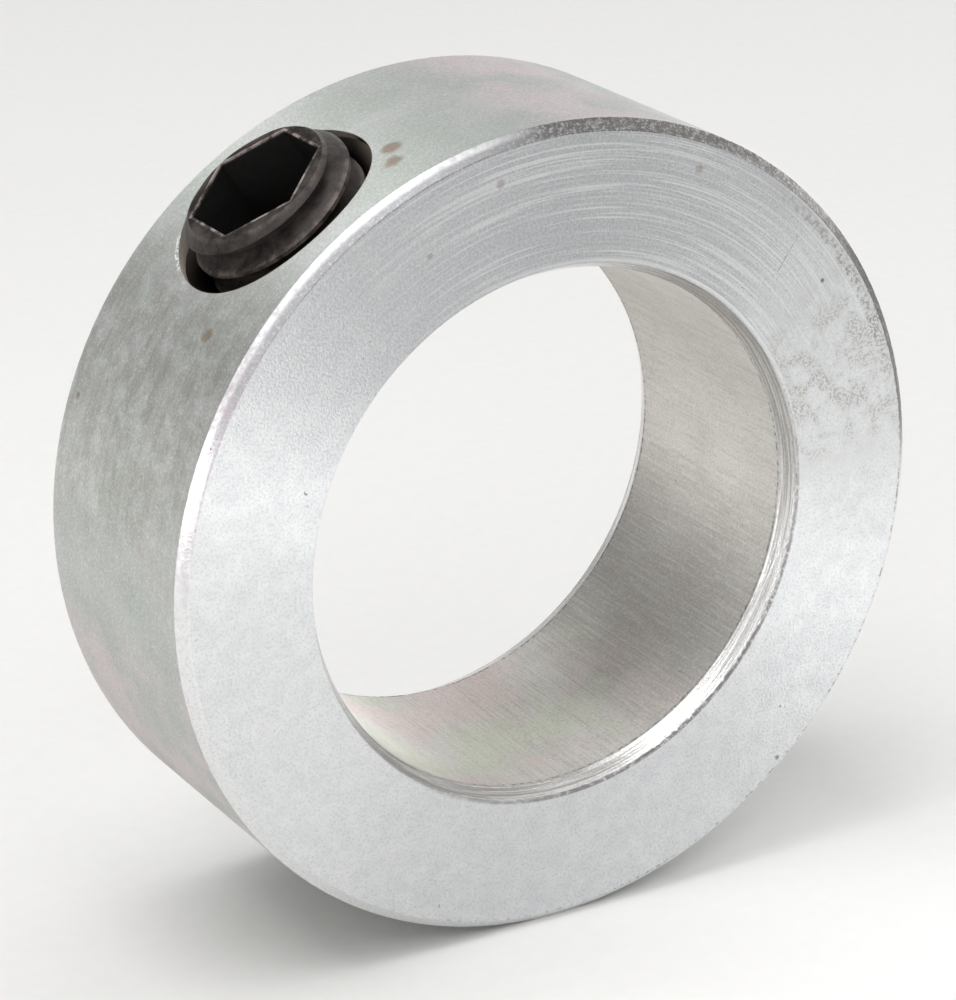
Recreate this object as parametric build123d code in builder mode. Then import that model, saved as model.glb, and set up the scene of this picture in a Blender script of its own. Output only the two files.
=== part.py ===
from build123d import *
from math import cos, radians, sin, tan
import os

# A solid shaft collar: a ring held on its shaft by one socket set screw.
# Millimetres. The bore lies along Y with its centre at the origin.
# The front face looks along -Y and Z is up.

INCH = 25.4

# Ring
SHAFT_DIAMETER = 1.125 * INCH
SHAFT_CLEARANCE = 0.05
OUTER_DIAMETER = 1.75 * INCH
WIDTH = 15.4
OUTER_CHAMFER = 0.55
BORE_CHAMFER_DEPTH = 0.5  # measured along the radius
BORE_CHAMFER_LENGTH = 1.05  # measured along the bore
EDGE_ROUND = 0.08

# Set screw, in the ring's wall at mid-width, leaning to the left of the top as seen from the front
SCREW_LEAN = 35.2
THREAD_DIAMETER = 0.375 * INCH
THREAD_PITCH = INCH / 16
SCREW_LENGTH = 9.2  # sold as 3/8 inch
TIP_CLEAR_OF_BORE = 0.1
KEY_SIZE = 0.25 * INCH
SOCKET_CLEARANCE = 0.1
SOCKET_DEPTH = 4.6
DRILL_POINT_DEPTH = 1.0
HEAD_FACE_RADIUS = 3.95

# Thread form: 60 degrees between flanks, with room between the two threads all round
HALF_FLANK_ANGLE = 30
CREST_UNDERSIZE = 0.02
EXTERNAL_DEPTH = 0.6 * THREAD_PITCH
CREST_HALF_WIDTH = THREAD_PITCH / 16
THREAD_CLEARANCE = 0.1
RIDGE_SINK = 0.06  # how far a ridge reaches into the cylinder that carries it

# Mouth of the tapped hole: straight for a little way below the ring's surface, then a cone to the thread
MOUTH_DIAMETER = 11.4
MOUTH_STRAIGHT_HEIGHT = 21.1  # where the cone begins, from the bore's axis
MOUTH_CONE_ANGLE = 90

# Cup point: the plain end of the screw, below the first thread
CUP_RIM_RADIUS = 2.7
CUP_RADIUS = 2.35
CUP_DEPTH = 1.1
POINT_LENGTH = 1.6

bore_radius = (SHAFT_DIAMETER + SHAFT_CLEARANCE) / 2
outer_radius = OUTER_DIAMETER / 2
half_width = WIDTH / 2
crest_radius = THREAD_DIAMETER / 2 - CREST_UNDERSIZE
root_radius = crest_radius - EXTERNAL_DEPTH
tapped_crest_radius = root_radius + THREAD_CLEARANCE
tapped_root_radius = crest_radius + THREAD_CLEARANCE

# Heights along the screw are distances from the bore's axis.
tip_height = bore_radius + TIP_CLEAR_OF_BORE
head_height = tip_height + SCREW_LENGTH
point_top = tip_height + POINT_LENGTH
# A helix starts a quarter turn past the front, so this brings the thread out at the head on the front side.
thread_end_height = head_height + THREAD_PITCH / 4

SCREW_DIRECTION = Vector(-sin(radians(SCREW_LEAN)), 0, cos(radians(SCREW_LEAN)))
BORE_DIRECTION = Vector(0, 1, 0)
# Across the screw, with local x along the bore
screw_frame = Plane(origin=(0, 0, 0), x_dir=BORE_DIRECTION, z_dir=SCREW_DIRECTION)
# Along the screw: local x is the distance from its axis and local y the height
screw_section = Plane(origin=(0, 0, 0), x_dir=BORE_DIRECTION, z_dir=BORE_DIRECTION.cross(SCREW_DIRECTION))
screw_axis = Axis((0, 0, 0), SCREW_DIRECTION)


def thread_ridge(top_turn, turns, foot_radius, top_radius, top_half_width):
    """A helical ridge round the screw's axis, ending top_turn turns above the thread's end at the head."""
    low_height = thread_end_height + (top_turn - turns) * THREAD_PITCH
    centres = [SCREW_DIRECTION * (low_height + turn * THREAD_PITCH) for turn in range(turns)]
    height = top_radius - foot_radius
    foot_half_width = top_half_width + height * tan(radians(HALF_FLANK_ANGLE))
    with BuildPart() as ridge:
        with BuildLine() as path:
            for centre in centres:
                Helix(THREAD_PITCH, THREAD_PITCH, foot_radius, center=centre, direction=SCREW_DIRECTION)
        start = path.edges().sort_by(screw_axis)[0] @ 0
        outward = (start - centres[0]).normalized()
        with BuildSketch(Plane(origin=start, x_dir=outward, z_dir=outward.cross(SCREW_DIRECTION))):
            with BuildLine():
                Polyline(
                    (0, -foot_half_width),
                    (height, -top_half_width),
                    (height, top_half_width),
                    (0, foot_half_width),
                    close=True,
                )
            make_face()
        sweep(path=path.wire(), is_frenet=True)
    return ridge.part


# The screw's thread, and the space that a tap cuts for it, THREAD_CLEARANCE larger on every side
screw_thread = thread_ridge(1, 7, root_radius - RIDGE_SINK, crest_radius, CREST_HALF_WIDTH)
flank_room = THREAD_CLEARANCE / cos(radians(HALF_FLANK_ANGLE))
flank_loss = THREAD_CLEARANCE * tan(radians(HALF_FLANK_ANGLE))
tap_half_width = CREST_HALF_WIDTH + flank_room - flank_loss
tap_thread = thread_ridge(0, 8, tapped_crest_radius - RIDGE_SINK, tapped_root_radius, tap_half_width)

# Ring: half of its cross-section, mirrored to the back and turned about the bore
with BuildPart() as collar_ring:
    with BuildSketch(Plane.XY) as ring_section:
        with BuildLine():
            Polyline(
                (bore_radius, 0),
                (bore_radius, half_width - BORE_CHAMFER_LENGTH),
                (bore_radius + BORE_CHAMFER_DEPTH, half_width),
                (outer_radius - OUTER_CHAMFER, half_width),
                (outer_radius, half_width - OUTER_CHAMFER),
                (outer_radius, 0),
                close=True,
            )
        make_face()
        mirror(about=Plane.XZ)
        fillet(ring_section.vertices(), EDGE_ROUND)
    revolve(axis=Axis.Y)
    # The tapped hole, through one wall only. The helical groove is cut into solid metal and the hole drilled
    # out after it, because the groove doesn't cut cleanly from a hole that is there already.
    add(tap_thread, mode=Mode.SUBTRACT)
    with BuildSketch(screw_frame):
        Circle(tapped_crest_radius)
    extrude(amount=2 * outer_radius, mode=Mode.SUBTRACT)
    # the mouth of the hole
    mouth_radius = MOUTH_DIAMETER / 2
    cone_depth = (mouth_radius - tapped_crest_radius) / tan(radians(MOUTH_CONE_ANGLE / 2))
    with BuildSketch(screw_section):
        with BuildLine():
            Polyline(
                (0, MOUTH_STRAIGHT_HEIGHT - cone_depth),
                (tapped_crest_radius, MOUTH_STRAIGHT_HEIGHT - cone_depth),
                (mouth_radius, MOUTH_STRAIGHT_HEIGHT),
                (mouth_radius, 2 * outer_radius),
                (0, 2 * outer_radius),
                close=True,
            )
        make_face()
    revolve(axis=screw_axis, mode=Mode.SUBTRACT)
collar_ring.part.label = "collar_ring"

# Set screw: threaded body with the hex socket
with BuildPart() as set_screw:
    # The thread, trimmed to the screw's length with a chamfer at each end. The core is added after it,
    # because a thread joined to its core doesn't trim cleanly.
    head_chamfer = crest_radius - HEAD_FACE_RADIUS
    with BuildSketch(screw_section):
        with BuildLine():
            Polyline(
                (0, point_top),
                (root_radius, point_top),
                (crest_radius, point_top + crest_radius - root_radius),
                (crest_radius, head_height - head_chamfer),
                (HEAD_FACE_RADIUS, head_height),
                (0, head_height),
                close=True,
            )
        make_face()
    revolve(axis=screw_axis)
    add(screw_thread, mode=Mode.INTERSECT)
    with BuildSketch(screw_frame.offset(point_top)):
        Circle(root_radius)
    extrude(amount=head_height - point_top)
    # the socket and the drill point at its floor
    socket_half_width = (KEY_SIZE + SOCKET_CLEARANCE) / 2
    with BuildSketch(screw_frame.offset(head_height)):
        RegularPolygon(socket_half_width, 6, major_radius=False)
    extrude(amount=-SOCKET_DEPTH, mode=Mode.SUBTRACT)
    with BuildSketch(screw_section):
        with BuildLine():
            Polyline(
                (0, head_height - SOCKET_DEPTH - DRILL_POINT_DEPTH),
                (socket_half_width, head_height - SOCKET_DEPTH),
                (0, head_height - SOCKET_DEPTH),
                close=True,
            )
        make_face()
    revolve(axis=screw_axis, mode=Mode.SUBTRACT)
set_screw.part.label = "set_screw"

# Cup point: a cone down to a narrow rim round a shallow cup
with BuildPart() as set_screw_point:
    with BuildSketch(screw_section):
        with BuildLine():
            Polyline(
                (0, tip_height + CUP_DEPTH),
                (CUP_RADIUS, tip_height),
                (CUP_RIM_RADIUS, tip_height),
                (root_radius, tip_height + root_radius - CUP_RIM_RADIUS),
                (root_radius, point_top),
                (0, point_top),
                close=True,
            )
        make_face()
    revolve(axis=screw_axis)
set_screw_point.part.label = "set_screw_point"

os.makedirs("parts", exist_ok=True)
export_step(collar_ring.part, "parts/collar_ring.step")
export_step(set_screw.part, "parts/set_screw.step")
export_step(set_screw_point.part, "parts/set_screw_point.step")
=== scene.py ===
import math

import bpy
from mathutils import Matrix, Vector


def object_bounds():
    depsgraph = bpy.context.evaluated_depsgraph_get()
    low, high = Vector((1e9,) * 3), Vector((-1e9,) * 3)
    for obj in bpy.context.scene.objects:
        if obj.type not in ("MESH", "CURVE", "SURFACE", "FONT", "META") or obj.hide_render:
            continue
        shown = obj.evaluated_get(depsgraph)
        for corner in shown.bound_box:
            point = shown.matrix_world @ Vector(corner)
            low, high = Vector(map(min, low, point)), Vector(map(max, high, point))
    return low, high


# Looks of a set-screw shaft collar. Metres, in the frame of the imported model:
# the bore lies along Y with its centre at the origin, the front face looks along -Y and Z is up.

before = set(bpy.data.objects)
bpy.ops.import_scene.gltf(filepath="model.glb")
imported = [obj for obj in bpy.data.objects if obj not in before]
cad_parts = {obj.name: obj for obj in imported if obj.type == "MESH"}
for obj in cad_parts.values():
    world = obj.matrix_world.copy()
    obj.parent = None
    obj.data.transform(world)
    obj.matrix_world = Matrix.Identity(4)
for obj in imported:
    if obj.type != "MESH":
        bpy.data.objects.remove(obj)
cad_low, cad_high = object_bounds()

MM = 0.001

# The part of a soft-edged line's half width, or of a spot's radius, that is at full strength
LINE_CORE = 0.4
SCRATCH_CORE = 0.3
SPOT_CORE = 0.35
# How far the clouds push a spot's outline in and out, in radii from one extreme to the other
SPOT_BREAKUP = 1.6

# Sizes that the materials are placed by, in millimetres
BORE_RADIUS = 14.3125
OUTER_RADIUS = 22.225
HALF_WIDTH = 7.7
OUTER_CHAMFER = 0.55
BORE_CHAMFER_LENGTH = 1.05
BORE_CHAMFER_DEPTH = 0.5
BORE_CHAMFER_TOP = BORE_RADIUS + BORE_CHAMFER_DEPTH
BORE_CHAMFER_END = HALF_WIDTH - BORE_CHAMFER_LENGTH
MOUTH_RADIUS = 5.7
CREST_RADIUS = 4.74
HEAD_HEIGHT = 23.6125
HEAD_RIM_START = 3.3
HEAD_RIM_END = 3.8
SOCKET_HALF_WIDTH = 3.225
SOCKET_CORNER_RADIUS = 3.72
# Heights from the bore's axis between which the tapped hole turns from painted shade to brown
HOLE_DARK_BELOW = 20.2
HOLE_BROWN_ABOVE = 21.6

SCREW_LEAN = math.radians(35.2)
SCREW_DIRECTION = Vector((-math.sin(SCREW_LEAN), 0, math.cos(SCREW_LEAN)))
BORE_DIRECTION = Vector((0, 1, 0))
SCREW_SIDE = BORE_DIRECTION.cross(SCREW_DIRECTION)

# Directions round the bore are in degrees: 0 is +X and 90 is up.

# The scratch on the front face, as (x, z) ends in millimetres
SCRATCH = ((13.1, 12.4), (14.3, 14.1))
SCRATCH_HALF_WIDTH = 0.045
# Brown stains on the outside, as (degrees round the bore, distance along it from mid-width, radius)
RIM_STAINS = ((144.4, -3.3, 0.5), (109.6, -3.1, 0.7), (111.3, -4.4, 0.7), (160.5, 6.2, 0.3))
# Fainter brown stains and dark pits on the front face, as (x, z, radius)
FACE_STAINS = ((-3.9, 19.7, 0.35), (8.0, 18.7, 0.35), (-7.9, 16.6, 0.25))
FACE_PITS = ((16.0, 11.4, 0.17), (14.2, -12.9, 0.15), (14.1, -16.0, 0.2))
# The line of dirt on the faces, as a distance in from the outside
EDGE_DIRT_INSET = 0.95
# How far a ragged noise moves the nicks and the dirt from their lines, from one extreme to the other
NICK_STRAY = 0.22
EDGE_DIRT_STRAY = 0.66
# The torn part of the tapped hole's rim, as (degrees round the bore, distance along it), and its radius
TORN_PLACE = (138, 3.4)
TORN_RADIUS = 2.2

# Colours of the zinc plate
FACE_GREY = (0.82, 0.84, 0.86)
FACE_BRIGHT = (0.93, 0.94, 0.95)
# painted shade for the upper left of the faces
FACE_PAINTED_SHADE = (0.45, 0.46, 0.48)
FACE_WORN = (0.36, 0.34, 0.31)
# painted shade between the arcs at the top of the faces
ARC_PAINTED_SHADE = (0.60, 0.62, 0.64)
# painted glints on the arcs at the top of the faces
ARC_PAINTED_GLINT = (1.0, 1.0, 1.0)
OUTSIDE_GREEN = (0.52, 0.55, 0.52)
OUTSIDE_GREY = (0.58, 0.595, 0.58)
OUTSIDE_PINK = (0.72, 0.61, 0.64)
OUTSIDE_DARK_BAND = (0.30, 0.27, 0.24)
BORE_GREY = (0.74, 0.72, 0.68)
BORE_BRIGHT = (0.79, 0.775, 0.74)
# painted shade, a dark reflection, for the lower right of the bore
BORE_PAINTED_SHADE = (0.31, 0.29, 0.27)
BORE_PINK = (0.84, 0.70, 0.69)
BORE_GREEN = (0.72, 0.77, 0.60)
EDGE_BRIGHT = (0.86, 0.86, 0.87)
# painted shade for the outer chamfers at the upper right
EDGE_PAINTED_SHADE = (0.125, 0.115, 0.105)
EDGE_SHADED = (0.16, 0.16, 0.17)
EDGE_DULL = (0.40, 0.40, 0.41)
EDGE_PINK = (0.52, 0.42, 0.47)
CHAMFER_LINE_DARK = (0.62, 0.61, 0.60)
CHAMFER_LINE_BRIGHT = (0.99, 0.99, 1.0)
GRAIN_BRIGHT = (0.97, 0.975, 0.98)
GRAIN_DARK = (0.34, 0.34, 0.34)
SPECK = (0.24, 0.21, 0.18)
DRAWN_BRIGHT = (0.95, 0.94, 0.92)
DRAWN_DARK = (0.34, 0.31, 0.28)
STAIN = (0.30, 0.22, 0.16)
DIRT = (0.33, 0.30, 0.27)
BURR = (0.95, 0.96, 0.97)
DAMAGE = (0.12, 0.10, 0.09)
TORN = (0.98, 0.98, 0.97)
# painted shade for the tapped hole further in
HOLE_PAINTED_SHADE = (0.020, 0.017, 0.015)
HOLE_BROWN = (0.34, 0.29, 0.24)

# Roughness of the zinc plate. A pair is the range that the clouds move it through.
OUTSIDE_ROUGHNESS = (0.66, 0.62)
FACE_ROUGHNESS = (0.46, 0.52)
BORE_ROUGHNESS = 0.60
EDGE_ROUGHNESS = 0.34
BORE_CHAMFER_ROUGHNESS = 0.22
HOLE_ROUGHNESS = 0.7
DAMAGE_ROUGHNESS = 0.7

# Colours and roughness of the black oxide
OXIDE_BLACK = (0.014, 0.010, 0.009)
OXIDE_BROWN = (0.050, 0.040, 0.035)
OXIDE_WORN = (0.16, 0.135, 0.12)
OXIDE_FLECK = (0.14, 0.12, 0.105)
# painted shade for the inside of the hexagon socket
SOCKET_PAINTED_SHADE = (0.004, 0.004, 0.0035)
# painted highlight for the rim of the hexagon socket
SOCKET_PAINTED_HIGHLIGHT = (0.42, 0.36, 0.34)
OXIDE_ROUGHNESS = (0.34, 0.52)
SOCKET_ROUGHNESS = 0.6

# The paper floor
PAPER_LOW = (0.83, 0.825, 0.81)
PAPER_HIGH = (0.87, 0.865, 0.85)
PAPER_ROUGHNESS = 0.9
FIBRES_PER_METRE = 900
FIBRE_HEIGHT = 0.02 * MM

# The light comes from directions given as an azimuth and an elevation in degrees.
# Azimuth 0 is +X and 90 is the back.
# The room's own light: azimuth, elevation, how narrow that part of it is, and how bright
ROOM_LIGHT = (
    # low behind, at the right
    (45, 15, 6, 1.48),
    # high, at the right
    (0, 55, 4, 0.70),
)
# The soft lamps: azimuth, elevation, distance, size and watts
LAMPS = (
    # the main light, above and to the left, with a weaker one at the front left and one at the right
    (180, 72, 0.8, (0.5, 0.5), 3.2),
    (225, 35, 0.8, (0.5, 0.4), 1.34),
    (0, 35, 0.8, (0.5, 0.4), 0.5),
    # low lamps at the front left, for the two bright stretches of the turned face
    (210, 4, 0.8, (0.4, 0.15), 1.15),
    (240, 4, 0.8, (0.4, 0.15), 1.05),
    # a low lamp behind, at the right
    (30, 7, 0.8, (0.4, 0.2), 1.4),
    # a tall strip and a small lamp overhead, for the brilliant stretch of the bore's chamfer
    (187, 35, 0.8, (0.12, 0.7), 0.6),
    (290, 76, 0.8, (0.15, 0.15), 0.12),
    # near lamps, high at the front
    (270, 50, 0.4, (0.2, 0.2), 0.19),
    (310, 50, 0.4, (0.2, 0.2), 0.13),
)

# The camera, from the fit to the ring's edges in the photograph: metres, and millimetres for lens and sensor
CAMERA_PLACE = Vector((-0.09366, -0.15731, 0.07136))
CAMERA_WAY = Vector((0.47384, 0.80125, -0.36535))
CAMERA_LENS = 131.8
CAMERA_SENSOR = 36
CAMERA_NEAR = 0.01
CAMERA_FAR = 20

# How far the floor reaches each way, in metres
FLOOR_REACH = 3.0


class Graph:
    """Short calls for making and joining the shader nodes of one material, or of the world."""

    def __init__(self, owner):
        owner.use_nodes = True
        self.owner = owner
        self.tree = owner.node_tree
        self.tree.nodes.clear()

    def node(self, kind, **settings):
        made = self.tree.nodes.new(kind)
        for setting, value in settings.items():
            setattr(made, setting, value)
        return made

    def feed(self, socket, value):
        if isinstance(value, bpy.types.NodeSocket):
            self.tree.links.new(value, socket)
        elif value is not None:
            socket.default_value = value

    def math(self, operation, first, second=None, third=None):
        made = self.node("ShaderNodeMath", operation=operation)
        for socket, value in zip(made.inputs, (first, second, third)):
            self.feed(socket, value)
        return made.outputs[0]

    def times(self, *values):
        """The product of the values. For masks, it is 1 only where all of them are 1."""
        product = values[0]
        for value in values[1:]:
            product = self.math("MULTIPLY", product, value)
        return product

    def most(self, *values):
        """The highest of the values. For masks, it is 1 where any of them is 1."""
        highest = values[0]
        for value in values[1:]:
            highest = self.math("MAXIMUM", highest, value)
        return highest

    def add_up(self, *terms):
        """The sum of the terms, each given as a value and what it is multiplied by."""
        total = 0
        for value, factor in terms:
            total = self.math("MULTIPLY_ADD", value, factor, total)
        return total

    def vector_math(self, operation, first, second=None):
        made = self.node("ShaderNodeVectorMath", operation=operation)
        self.feed(made.inputs[0], first)
        self.feed(made.inputs[1], second)
        return made.outputs["Value"] if operation in ("LENGTH", "DOT_PRODUCT") else made.outputs[0]

    def scale(self, vector, factor):
        made = self.node("ShaderNodeVectorMath", operation="SCALE")
        self.feed(made.inputs[0], vector)
        self.feed(made.inputs["Scale"], factor)
        return made.outputs[0]

    def distance(self, first, second):
        return self.vector_math("LENGTH", self.vector_math("SUBTRACT", first, second))

    def combine(self, x, y, z):
        made = self.node("ShaderNodeCombineXYZ")
        for socket, value in zip(made.inputs, (x, y, z)):
            self.feed(socket, value)
        return made.outputs[0]

    def noise(self, vector, scale, detail=2.0, roughness=0.5):
        made = self.node("ShaderNodeTexNoise")
        self.feed(made.inputs["Vector"], vector)
        made.inputs["Scale"].default_value = scale
        made.inputs["Detail"].default_value = detail
        made.inputs["Roughness"].default_value = roughness
        return made.outputs["Fac"]

    def between(self, value, low, high, to_low=0.0, to_high=1.0):
        """Moves value from the range low to high into the range to_low to to_high, smoothly and held at
        the ends."""
        made = self.node("ShaderNodeMapRange", interpolation_type="SMOOTHSTEP")
        self.feed(made.inputs["Value"], value)
        self.feed(made.inputs["From Min"], low)
        self.feed(made.inputs["From Max"], high)
        self.feed(made.inputs["To Min"], to_low)
        self.feed(made.inputs["To Max"], to_high)
        return made.outputs["Result"]

    def near(self, value, centre, half_width):
        """1 where value is centre, falling to 0 at half_width from it."""
        away = self.math("ABSOLUTE", self.math("SUBTRACT", value, centre))
        return self.between(away, half_width, half_width * LINE_CORE)

    def mix(self, share, first, second):
        made = self.node("ShaderNodeMix", data_type="FLOAT")
        self.feed(made.inputs[0], share)
        self.feed(made.inputs[2], first)
        self.feed(made.inputs[3], second)
        return made.outputs[0]

    def tint(self, share, first, second):
        """The colour first with that share of the colour second."""
        made = self.node("ShaderNodeMix", data_type="RGBA")
        self.feed(made.inputs[0], share)
        for socket, colour in ((made.inputs[6], first), (made.inputs[7], second)):
            self.feed(socket, colour if isinstance(colour, bpy.types.NodeSocket) else (*colour, 1))
        return made.outputs[2]

    def bump(self, height, distance):
        made = self.node("ShaderNodeBump")
        self.feed(made.inputs["Height"], height)
        made.inputs["Distance"].default_value = distance
        return made.outputs["Normal"]

    def millimetres(self):
        """The place on the object, in millimetres."""
        return self.scale(self.node("ShaderNodeTexCoord").outputs["Object"], 1 / MM)

    def finish(self, colour, roughness, normal, **constants):
        """Ends the material in one Principled shader. The constants are its other sockets, by name with _
        for each space."""
        shader = self.node("ShaderNodeBsdfPrincipled")
        self.feed(shader.inputs["Base Color"], colour)
        self.feed(shader.inputs["Roughness"], roughness)
        self.feed(shader.inputs["Normal"], normal)
        for name, value in constants.items():
            self.feed(shader.inputs[name.replace("_", " ")], value)
        output = self.node("ShaderNodeOutputMaterial")
        self.tree.links.new(shader.outputs[0], output.inputs["Surface"])
        return self.owner


def screw_coordinates(g, place):
    """Distance from the screw's axis, and height along it from the bore's axis, in millimetres."""
    height = g.vector_math("DOT_PRODUCT", place, tuple(SCREW_DIRECTION))
    return g.distance(place, g.scale(tuple(SCREW_DIRECTION), height)), height


def on_outside(degrees, along):
    """A point on the outside of the ring, in millimetres."""
    angle = math.radians(degrees)
    return (OUTER_RADIUS * math.cos(angle), along, OUTER_RADIUS * math.sin(angle))


def on_front(x, z):
    """A point on the front face, in millimetres."""
    return (x, -HALF_WIDTH, z)


class RingSurface:
    """The ring as its finish sees it: coordinates in millimetres, masks that are 1 on one kind of surface
    and 0 elsewhere, and the noises that its features share."""

    def __init__(self, g):
        self.g = g
        self.place = g.millimetres()
        split = g.node("ShaderNodeSeparateXYZ")
        g.feed(split.inputs[0], self.place)
        x, self.along, z = split.outputs
        across = g.combine(x, 0, z)
        self.radius = g.vector_math("LENGTH", across)
        self.outward = g.vector_math("NORMALIZE", across)
        self.depth = g.math("ABSOLUTE", self.along)
        self.screw_radius, self.screw_height = screw_coordinates(g, self.place)
        self.find_surfaces()
        self.make_noises()

    def find_surfaces(self):
        """Masks for the kinds of surface, with soft edges."""
        g = self.g
        self.on_face = g.between(self.depth, HALF_WIDTH - 0.06, HALF_WIDTH - 0.015)
        self.in_bore = g.between(self.radius, BORE_RADIUS + 0.08, BORE_RADIUS + 0.03)
        corner = OUTER_RADIUS + HALF_WIDTH - OUTER_CHAMFER
        self.on_edge = g.between(g.math("ADD", self.radius, self.depth), corner - 0.05, corner - 0.01)
        above_bore = g.math("SUBTRACT", self.radius, BORE_RADIUS)
        slope = BORE_CHAMFER_LENGTH / BORE_CHAMFER_DEPTH
        chamfer_depth = g.math("MULTIPLY_ADD", above_bore, slope, BORE_CHAMFER_END)
        self.on_bore_chamfer = g.times(
            g.near(g.math("SUBTRACT", self.depth, chamfer_depth), 0, 0.12),
            g.between(self.radius, BORE_CHAMFER_TOP + 0.01, BORE_CHAMFER_TOP - 0.03),
            g.between(self.radius, BORE_RADIUS + 0.005, BORE_RADIUS + 0.02),
        )
        self.in_hole = g.times(
            g.between(self.screw_radius, MOUTH_RADIUS + 0.05, MOUTH_RADIUS - 0.02),
            g.between(self.screw_height, BORE_RADIUS + 0.2, BORE_RADIUS + 0.5),
        )

    def make_noises(self):
        """Noises from the finest grain to the widest clouds, and those of the marks that the tools left."""
        g = self.g
        self.sparkle = g.noise(self.place, 15, detail=1)
        self.grain = g.noise(self.place, 7, detail=3, roughness=0.65)
        self.ragged = g.noise(self.place, 3.5, detail=4, roughness=0.75)
        self.cloud = g.noise(self.place, 0.8, detail=5, roughness=0.65)
        self.patch = g.noise(self.place, 0.22, detail=3, roughness=0.55)
        self.hue = g.noise(self.place, 0.16, detail=2)
        across = g.mix(self.on_face, self.along, self.radius)
        # each with its changes per millimetre, changes per radian, detail and roughness
        self.fine_marks = self.tool_marks(across, 9, 11.7, 4, 0.75)
        self.broad_marks = self.tool_marks(across, 2.6, 3.38, 2, 0.6)
        self.arcs = self.tool_marks(across, 9.6, 2.56, 3, 0.5)
        self.chamfer_marks = self.tool_marks(self.along, 8, 2.4, 3, 0.6)
        self.drawn_marks = self.tool_marks(self.along, 0.286, 130, 3, 0.7)

    def tool_marks(self, distance, per_millimetre, per_radian, detail, roughness):
        """A noise that changes at one rate with distance, in millimetres, and at another round the bore.
        Fast with distance and slow round the bore makes turning marks, and the reverse drawn lines."""
        g = self.g
        steps = g.combine(0, g.math("MULTIPLY", distance, per_millimetre), 0)
        way = g.vector_math("ADD", g.scale(self.outward, per_radian), steps)
        return g.noise(way, 1, detail, roughness)

    def towards(self, degrees, spread):
        """1 where the ring faces that way round the bore, falling to 0 at spread degrees from it."""
        way = (math.cos(math.radians(degrees)), 0, math.sin(math.radians(degrees)))
        alike = self.g.vector_math("DOT_PRODUCT", self.outward, way)
        return self.g.between(alike, math.cos(math.radians(spread)), 1)

    def spot(self, centre, radius):
        """A soft-edged spot round a point, with an outline broken up by the clouds."""
        g = self.g
        shift = g.times(g.math("SUBTRACT", self.cloud, 0.5), radius * SPOT_BREAKUP)
        away = g.math("ADD", g.distance(self.place, centre), shift)
        return g.between(away, radius, radius * SPOT_CORE)

    def strayed(self, value, reach):
        """The value moved by a ragged noise, up or down by half of reach at most."""
        return self.g.math("MULTIPLY_ADD", self.g.math("SUBTRACT", self.ragged, 0.5), reach, value)


def arc_side(ring):
    """The top of the ring, where its faces get the raised arcs of the last cut, with painted glints and
    painted shade.
    """
    return ring.towards(78, 62)


def face_colour(g, ring):
    """The turned faces: painted shade at the upper left, worn at the right and with painted shade between
    the arcs at the top.
    """
    colour = g.tint(g.between(ring.cloud, 0.3, 0.7), FACE_GREY, FACE_BRIGHT)
    # Painted shade over the upper left of the face
    colour = g.tint(g.times(ring.towards(115, 55), 0.3), colour, FACE_PAINTED_SHADE)
    worn = g.times(
        ring.towards(20, 22),
        g.between(ring.cloud, 0.42, 0.60),
        g.between(ring.grain, 0.44, 0.58),
    )
    colour = g.tint(g.times(worn, 0.85), colour, FACE_WORN)
    # Painted shade between the glinting arcs at the top of the face
    painted_arc_shade = g.times(g.between(ring.arcs, 0.60, 0.44, 0.35, 1), arc_side(ring))
    return g.tint(g.times(painted_arc_shade, 0.65), colour, ARC_PAINTED_SHADE)


def outside_colour(g, ring):
    """The outside: grey-green with pink patches and a streaky, darker brown band below the screw."""
    colour = g.tint(g.between(ring.patch, 0.35, 0.65), OUTSIDE_GREEN, OUTSIDE_GREY)
    pink = g.most(ring.towards(82, 16), ring.towards(207, 22))
    colour = g.tint(g.times(pink, g.between(ring.patch, 0.35, 0.6, 0.1, 0.6)), colour, OUTSIDE_PINK)
    # Darker and browner in a streaky band round the outside, below the screw
    dark_band = g.times(
        ring.towards(156, 28),
        g.between(ring.broad_marks, 0.30, 0.70, 0.5, 1),
        g.between(ring.cloud, 0.3, 0.6),
    )
    return g.tint(g.times(dark_band, 0.55), colour, OUTSIDE_DARK_BAND)


def bore_colour(g, ring):
    """The bore: warm grey, with painted shade at the lower right and iridescent at the bottom."""
    colour = g.tint(g.between(ring.patch, 0.4, 0.62), BORE_GREY, BORE_BRIGHT)
    # Painted shade: a dark reflection painted in a band at the lower right of the bore
    colour = g.tint(g.times(ring.towards(324, 36), 0.5), colour, BORE_PAINTED_SHADE)
    low = ring.towards(262, 60)
    colour = g.tint(g.times(low, g.between(ring.hue, 0.50, 0.60, 0, 0.5)), colour, BORE_PINK)
    return g.tint(g.times(low, g.between(ring.hue, 0.50, 0.40, 0, 0.45)), colour, BORE_GREEN)


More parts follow.
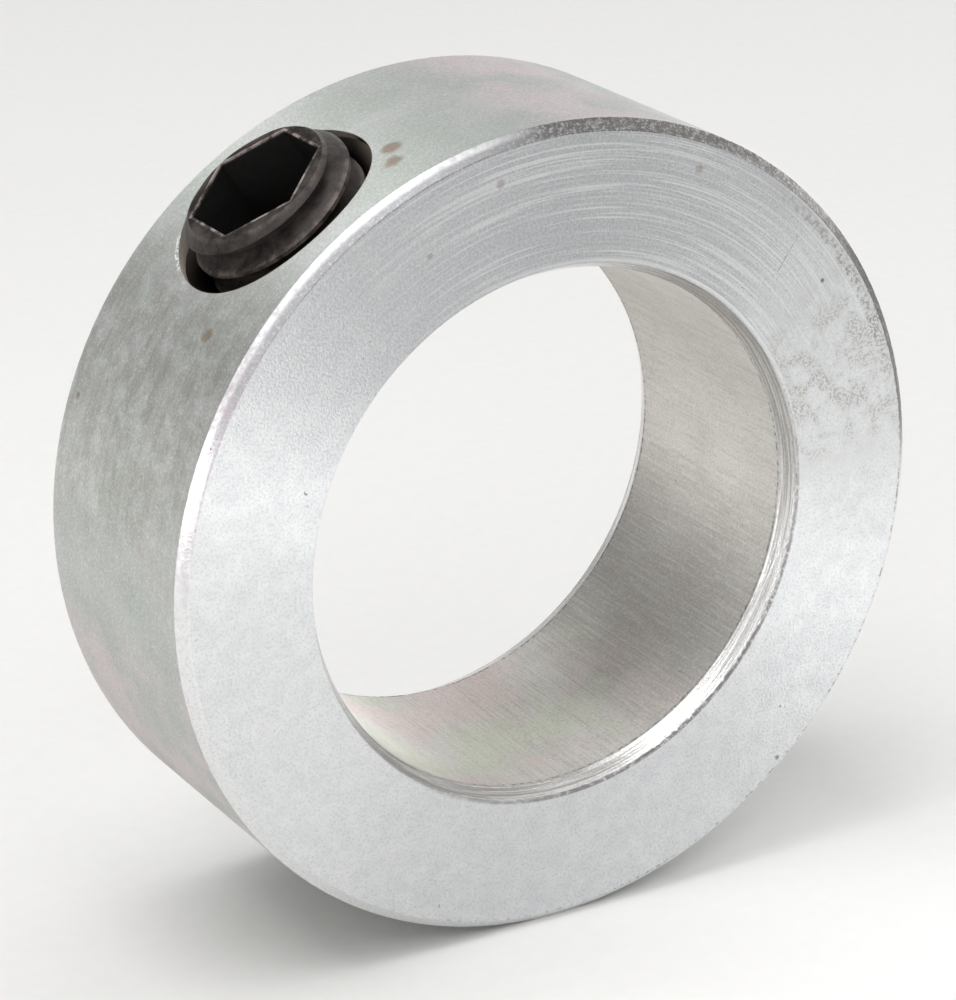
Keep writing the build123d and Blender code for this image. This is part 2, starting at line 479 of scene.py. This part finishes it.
def edge_colour(g, ring):
    """The outer chamfers: bright, with painted shade at the upper right. At the upper left they have painted
    shade beside the face, and dull and pink patches break them up."""
    # Painted shade along the chamfer at the upper right, broken up by the ragged noise
    darkening = g.between(ring.towards(50, 58), 0.0, 0.45)
    darkening = g.times(darkening, g.between(ring.ragged, 0.42, 0.66, 0.97, 0.72))
    colour = g.tint(darkening, EDGE_BRIGHT, EDGE_PAINTED_SHADE)
    shaded = g.times(g.between(ring.depth, HALF_WIDTH - 0.40, HALF_WIDTH - 0.20), ring.towards(125, 60))
    colour = g.tint(g.times(shaded, 0.7), colour, EDGE_SHADED)
    dull = g.times(ring.towards(130, 60), g.between(ring.ragged, 0.46, 0.62))
    colour = g.tint(g.times(dull, 0.6), colour, EDGE_DULL)
    pink = g.times(ring.towards(158, 22), g.between(ring.ragged, 0.4, 0.6))
    return g.tint(g.times(pink, 0.5), colour, EDGE_PINK)


def bore_chamfer_colour(g, ring):
    """The chamfers of the bore: bright, with long turning lines."""
    return g.tint(g.between(ring.chamfer_marks, 0.42, 0.6), CHAMFER_LINE_DARK, CHAMFER_LINE_BRIGHT)


def hole_colour(g, ring):
    """The tapped hole: brown at its mouth, with painted shade further in."""
    return g.tint(g.between(ring.screw_height, HOLE_DARK_BELOW, HOLE_BROWN_ABOVE), HOLE_PAINTED_SHADE, HOLE_BROWN)


def add_texture(g, ring, colour):
    """Adds the plate's grain, painted glints on the arcs of the last cut, dark specks and the bore's drawn
    lines.
    """
    bright_grain = g.times(g.between(ring.grain, 0.5, 0.66), g.mix(ring.on_face, 0.22, 0.38))
    colour = g.tint(bright_grain, colour, GRAIN_BRIGHT)
    colour = g.tint(g.between(ring.grain, 0.50, 0.36, 0, 0.22), colour, GRAIN_DARK)
    # Painted glints along the arcs at the top of the face
    painted_arc_glints = g.times(g.between(ring.arcs, 0.54, 0.66), arc_side(ring), ring.on_face)
    colour = g.tint(g.times(painted_arc_glints, 0.55), colour, ARC_PAINTED_GLINT)
    specks = g.between(g.noise(ring.place, 3.2, detail=4, roughness=0.7), 0.63, 0.72)
    colour = g.tint(g.times(specks, g.mix(ring.in_bore, 0.18, 0.4)), colour, SPECK)
    bright_lines = g.times(ring.in_bore, g.between(ring.drawn_marks, 0.50, 0.66))
    colour = g.tint(g.times(bright_lines, 0.2), colour, DRAWN_BRIGHT)
    dark_lines = g.times(ring.in_bore, g.between(ring.drawn_marks, 0.48, 0.34))
    return g.tint(g.times(dark_lines, 0.2), colour, DRAWN_DARK)


def pits(g, ring):
    """Small dark pits: a few anywhere, and those placed on the front face."""
    scattered = g.between(g.noise(ring.place, 1.9, detail=3, roughness=0.55), 0.755, 0.785)
    placed = [ring.spot(on_front(x, z), radius) for x, z, radius in FACE_PITS]
    return g.most(scattered, *placed)


def scratch(g, ring):
    """A faint straight scratch on the front face, broken here and there."""
    start, end = (Vector(on_front(x, z)) for x, z in SCRATCH)
    way = (end - start).normalized()
    offset = g.vector_math("SUBTRACT", ring.place, tuple(start))
    reach = g.most(g.vector_math("DOT_PRODUCT", offset, tuple(way)), 0)
    reach = g.math("MINIMUM", reach, (end - start).length)
    away = g.distance(offset, g.scale(tuple(way), reach))
    line = g.between(away, SCRATCH_HALF_WIDTH, SCRATCH_HALF_WIDTH * SCRATCH_CORE)
    return g.times(line, g.between(ring.ragged, 0.40, 0.56, 0.05, 0.7))


def nicks(g, ring):
    """Ragged dark nicks along both edges of the bore's chamfers and the inner edge of the outer ones."""
    ragged_radius = ring.strayed(ring.radius, NICK_STRAY)
    ragged_depth = ring.strayed(ring.depth, NICK_STRAY)
    at_face = g.times(
        g.near(ragged_radius, BORE_CHAMFER_TOP + 0.03, 0.13),
        g.between(ring.ragged, 0.38, 0.52),
        g.between(ring.depth, HALF_WIDTH - 0.3, HALF_WIDTH - 0.2),
        ring.towards(310, 85),
    )
    at_bore = g.times(
        g.near(ragged_depth, BORE_CHAMFER_END - 0.05, 0.10),
        g.between(ring.ragged, 0.46, 0.58),
        g.between(ring.radius, BORE_RADIUS + 0.15, BORE_RADIUS + 0.08),
    )
    at_edge = g.times(
        g.near(ragged_radius, OUTER_RADIUS - OUTER_CHAMFER, 0.10),
        g.between(ring.ragged, 0.50, 0.60),
        ring.on_face,
        ring.towards(325, 110),
    )
    return g.most(at_face, at_bore, at_edge)


def burr_line(g, ring):
    """The bright burr on the faces, round the upper right of the bore."""
    return g.times(ring.on_face, g.near(ring.radius, BORE_CHAMFER_TOP + 0.16, 0.13), ring.towards(62, 62))


def add_wear(g, ring, colour, burr, damage):
    """Adds stains, dirt near the edge, the burr, the damage and the torn rim of the tapped hole."""
    stains = [ring.spot(on_outside(degrees, along), radius) for degrees, along, radius in RIM_STAINS]
    stains += [g.times(ring.spot(on_front(x, z), radius), 0.6) for x, z, radius in FACE_STAINS]
    colour = g.tint(g.times(g.most(*stains), 0.7), colour, STAIN)
    darkening = g.times(
        ring.on_face,
        g.near(ring.strayed(ring.radius, EDGE_DIRT_STRAY), OUTER_RADIUS - EDGE_DIRT_INSET, 0.4),
        g.between(ring.ragged, 0.46, 0.58),
        ring.towards(32, 26),
    )
    colour = g.tint(g.times(darkening, 0.7), colour, DIRT)
    colour = g.tint(g.times(burr, 0.8), colour, BURR)
    colour = g.tint(g.times(damage, 0.6), colour, DAMAGE)
    torn = g.times(
        g.near(ring.screw_radius, MOUTH_RADIUS + 0.14, 0.18),
        ring.spot(on_outside(*TORN_PLACE), TORN_RADIUS),
        g.between(ring.grain, 0.46, 0.56),
    )
    return g.tint(torn, colour, TORN)


def zinc_roughness(g, ring, damage):
    """Each surface has its own gloss: the bore's chamfer is the most polished."""
    outside = g.between(ring.cloud, 0.3, 0.7, *OUTSIDE_ROUGHNESS)
    face = g.between(ring.cloud, 0.3, 0.7, *FACE_ROUGHNESS)
    roughness = g.mix(ring.on_face, outside, face)
    roughness = g.mix(ring.in_bore, roughness, BORE_ROUGHNESS)
    roughness = g.mix(ring.on_edge, roughness, EDGE_ROUGHNESS)
    roughness = g.mix(ring.on_bore_chamfer, roughness, BORE_CHAMFER_ROUGHNESS)
    roughness = g.math("ADD", roughness, g.between(ring.fine_marks, 0.3, 0.7, -0.04, 0.05))
    roughness = g.mix(ring.in_hole, roughness, HOLE_ROUGHNESS)
    return g.mix(damage, roughness, DAMAGE_ROUGHNESS)


def zinc_relief(g, ring, burr, damage):
    """The height of the surface, in millimetres."""
    return g.add_up(
        (ring.fine_marks, 0.0045),
        (ring.broad_marks, 0.008),
        (g.times(ring.arcs, arc_side(ring), ring.on_face), 0.035),
        (ring.grain, g.mix(ring.on_face, 0.014, 0.022)),
        (ring.sparkle, 0.006),
        (g.times(ring.drawn_marks, ring.in_bore), 0.015),
        (burr, 0.03),
        (damage, -0.03),
    )


def zinc_plate():
    """Bright zinc on turned steel. Each surface of the ring has its own colour, gloss and marks, and the
    highlights are stretched across the marks of the turning."""
    g = Graph(bpy.data.materials.new("zinc_plate"))
    ring = RingSurface(g)
    burr = burr_line(g, ring)
    damage = g.most(pits(g, ring), scratch(g, ring), nicks(g, ring))
    colour = g.tint(ring.on_face, outside_colour(g, ring), face_colour(g, ring))
    colour = g.tint(ring.in_bore, colour, bore_colour(g, ring))
    colour = g.tint(ring.on_edge, colour, edge_colour(g, ring))
    colour = g.tint(ring.on_bore_chamfer, colour, bore_chamfer_colour(g, ring))
    colour = add_texture(g, ring, colour)
    colour = add_wear(g, ring, colour, burr, damage)
    colour = g.tint(ring.in_hole, colour, hole_colour(g, ring))
    tangent = g.node("ShaderNodeTangent", direction_type="RADIAL", axis="Y")
    return g.finish(
        colour,
        zinc_roughness(g, ring, damage),
        g.bump(zinc_relief(g, ring, burr, damage), MM),
        Metallic=1.0,
        Anisotropic=0.85,
        Anisotropic_Rotation=0.25,
        Tangent=tangent.outputs[0],
    )


def socket_rim(g, place, height):
    """The sharp edge of the hexagon socket, in the screw's head, where a highlight is painted."""
    distances = []
    for turn in (30, 90, 150):
        angle = math.radians(turn)
        across = BORE_DIRECTION * math.cos(angle) + SCREW_SIDE * math.sin(angle)
        distances.append(g.math("ABSOLUTE", g.vector_math("DOT_PRODUCT", place, tuple(across))))
    return g.times(
        g.near(g.most(*distances), SOCKET_HALF_WIDTH + 0.05, 0.13),
        g.between(height, HEAD_HEIGHT - 0.14, HEAD_HEIGHT - 0.05),
    )


def black_oxide():
    """Black oxide on the set screw, worn towards bare steel along the crests of the thread and the rims."""
    g = Graph(bpy.data.materials.new("black_oxide"))
    place = g.millimetres()
    radius, height = screw_coordinates(g, place)
    cloud = g.noise(place, 1.1, detail=5, roughness=0.65)
    grain = g.noise(place, 8, detail=4, roughness=0.7)
    crest = g.between(radius, CREST_RADIUS - 0.30, CREST_RADIUS - 0.03)
    head_rim = g.times(
        g.between(height, HEAD_HEIGHT - 0.25, HEAD_HEIGHT - 0.05),
        g.between(radius, HEAD_RIM_START, HEAD_RIM_END),
    )
    in_socket = g.times(
        g.between(radius, SOCKET_CORNER_RADIUS + 0.13, SOCKET_CORNER_RADIUS - 0.02),
        g.between(height, HEAD_HEIGHT - 0.02, HEAD_HEIGHT - 0.25),
    )
    worn = g.times(g.most(crest, g.times(head_rim, 0.5)), g.between(cloud, 0.40, 0.64, 0.1, 0.8))
    # Painted highlight along the rim of the hexagon socket
    painted_rim_highlight = g.times(socket_rim(g, place, height), g.between(cloud, 0.42, 0.58, 0.1, 1))
    colour = g.tint(g.between(cloud, 0.3, 0.7), OXIDE_BLACK, OXIDE_BROWN)
    colour = g.tint(worn, colour, OXIDE_WORN)
    colour = g.tint(g.between(grain, 0.58, 0.75, 0, 0.25), colour, OXIDE_FLECK)
    # Painted shade: the inside of the hexagon socket is made almost black
    colour = g.tint(in_socket, colour, SOCKET_PAINTED_SHADE)
    colour = g.tint(painted_rim_highlight, colour, SOCKET_PAINTED_HIGHLIGHT)
    roughness = g.mix(in_socket, g.between(cloud, 0.3, 0.7, *OXIDE_ROUGHNESS), SOCKET_ROUGHNESS)
    relief = g.add_up((grain, 0.02), (cloud, 0.08))
    return g.finish(colour, roughness, g.bump(relief, MM), Metallic=0.35, Specular_IOR_Level=0.45)


def paper():
    """The pale floor: matt paper with fine fibres."""
    g = Graph(bpy.data.materials.new("floor_paper"))
    fibre = g.noise(g.node("ShaderNodeTexCoord").outputs["Object"], FIBRES_PER_METRE, detail=3)
    colour = g.tint(fibre, PAPER_LOW, PAPER_HIGH)
    return g.finish(colour, PAPER_ROUGHNESS, g.bump(fibre, FIBRE_HEIGHT), Specular_IOR_Level=0.1)


def dress(name, material):
    """Gives a CAD node its finish in every slot it has."""
    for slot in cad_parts[name].material_slots:
        slot.material = material


def place_in_scene(name, data):
    made = bpy.data.objects.new(name, data)
    bpy.context.scene.collection.objects.link(made)
    return made


def look_along(thing, way):
    """Turns a lamp or a camera to look that way, with its top up."""
    thing.rotation_mode = "QUATERNION"
    thing.rotation_quaternion = way.to_track_quat("-Z", "Y")


def floor():
    """A wide flat floor that the ring stands on."""
    level = cad_low.z
    mesh = bpy.data.meshes.new("floor")
    corners = [(x * FLOOR_REACH, y * FLOOR_REACH, level) for x, y in ((-1, -1), (1, -1), (1, 1), (-1, 1))]
    mesh.from_pydata(corners, [], [(0, 1, 2, 3)])
    mesh.materials.append(paper())
    place_in_scene("floor", mesh)


def way_to(azimuth, elevation):
    """The direction with that azimuth and elevation, in degrees."""
    turn, rise = math.radians(azimuth), math.radians(elevation)
    return Vector((math.cos(rise) * math.cos(turn), math.cos(rise) * math.sin(turn), math.sin(rise)))


def softbox(azimuth, elevation, distance, size, watts):
    """A soft rectangular lamp aimed at the ring."""
    lamp = bpy.data.lights.new(f"softbox_{azimuth}_{elevation}", "AREA")
    lamp.shape = "RECTANGLE"
    lamp.size, lamp.size_y = size
    lamp.energy = watts
    made = place_in_scene(lamp.name, lamp)
    made.location = way_to(azimuth, elevation) * distance
    look_along(made, -made.location)


def room():
    """A room whose soft light comes from a few wide directions."""
    g = Graph(bpy.data.worlds.new("room"))
    way = g.vector_math("NORMALIZE", g.node("ShaderNodeTexCoord").outputs["Generated"])
    parts = []
    for azimuth, elevation, narrowness, brightness in ROOM_LIGHT:
        facing = g.most(g.vector_math("DOT_PRODUCT", way, tuple(way_to(azimuth, elevation))), 0)
        parts.append((g.math("POWER", facing, narrowness), brightness))
    background = g.node("ShaderNodeBackground")
    g.feed(background.inputs["Color"], (1, 1, 1, 1))
    g.feed(background.inputs["Strength"], g.add_up(*parts))
    output = g.node("ShaderNodeOutputWorld")
    g.feed(output.inputs["Surface"], background.outputs[0])
    return g.owner


def camera():
    """The camera, at the photograph's viewing angle."""
    data = bpy.data.cameras.new("camera")
    data.lens = CAMERA_LENS
    data.sensor_width = CAMERA_SENSOR
    data.clip_start = CAMERA_NEAR
    data.clip_end = CAMERA_FAR
    made = place_in_scene("camera", data)
    made.location = CAMERA_PLACE
    look_along(made, CAMERA_WAY)
    return made


dress("collar_ring", zinc_plate())
oxide = black_oxide()
dress("set_screw", oxide)
dress("set_screw_point", oxide)

floor()
for lamp in LAMPS:
    softbox(*lamp)
bpy.context.scene.world = room()
bpy.context.scene.camera = camera()
bpy.context.scene.view_settings.view_transform = "Standard"
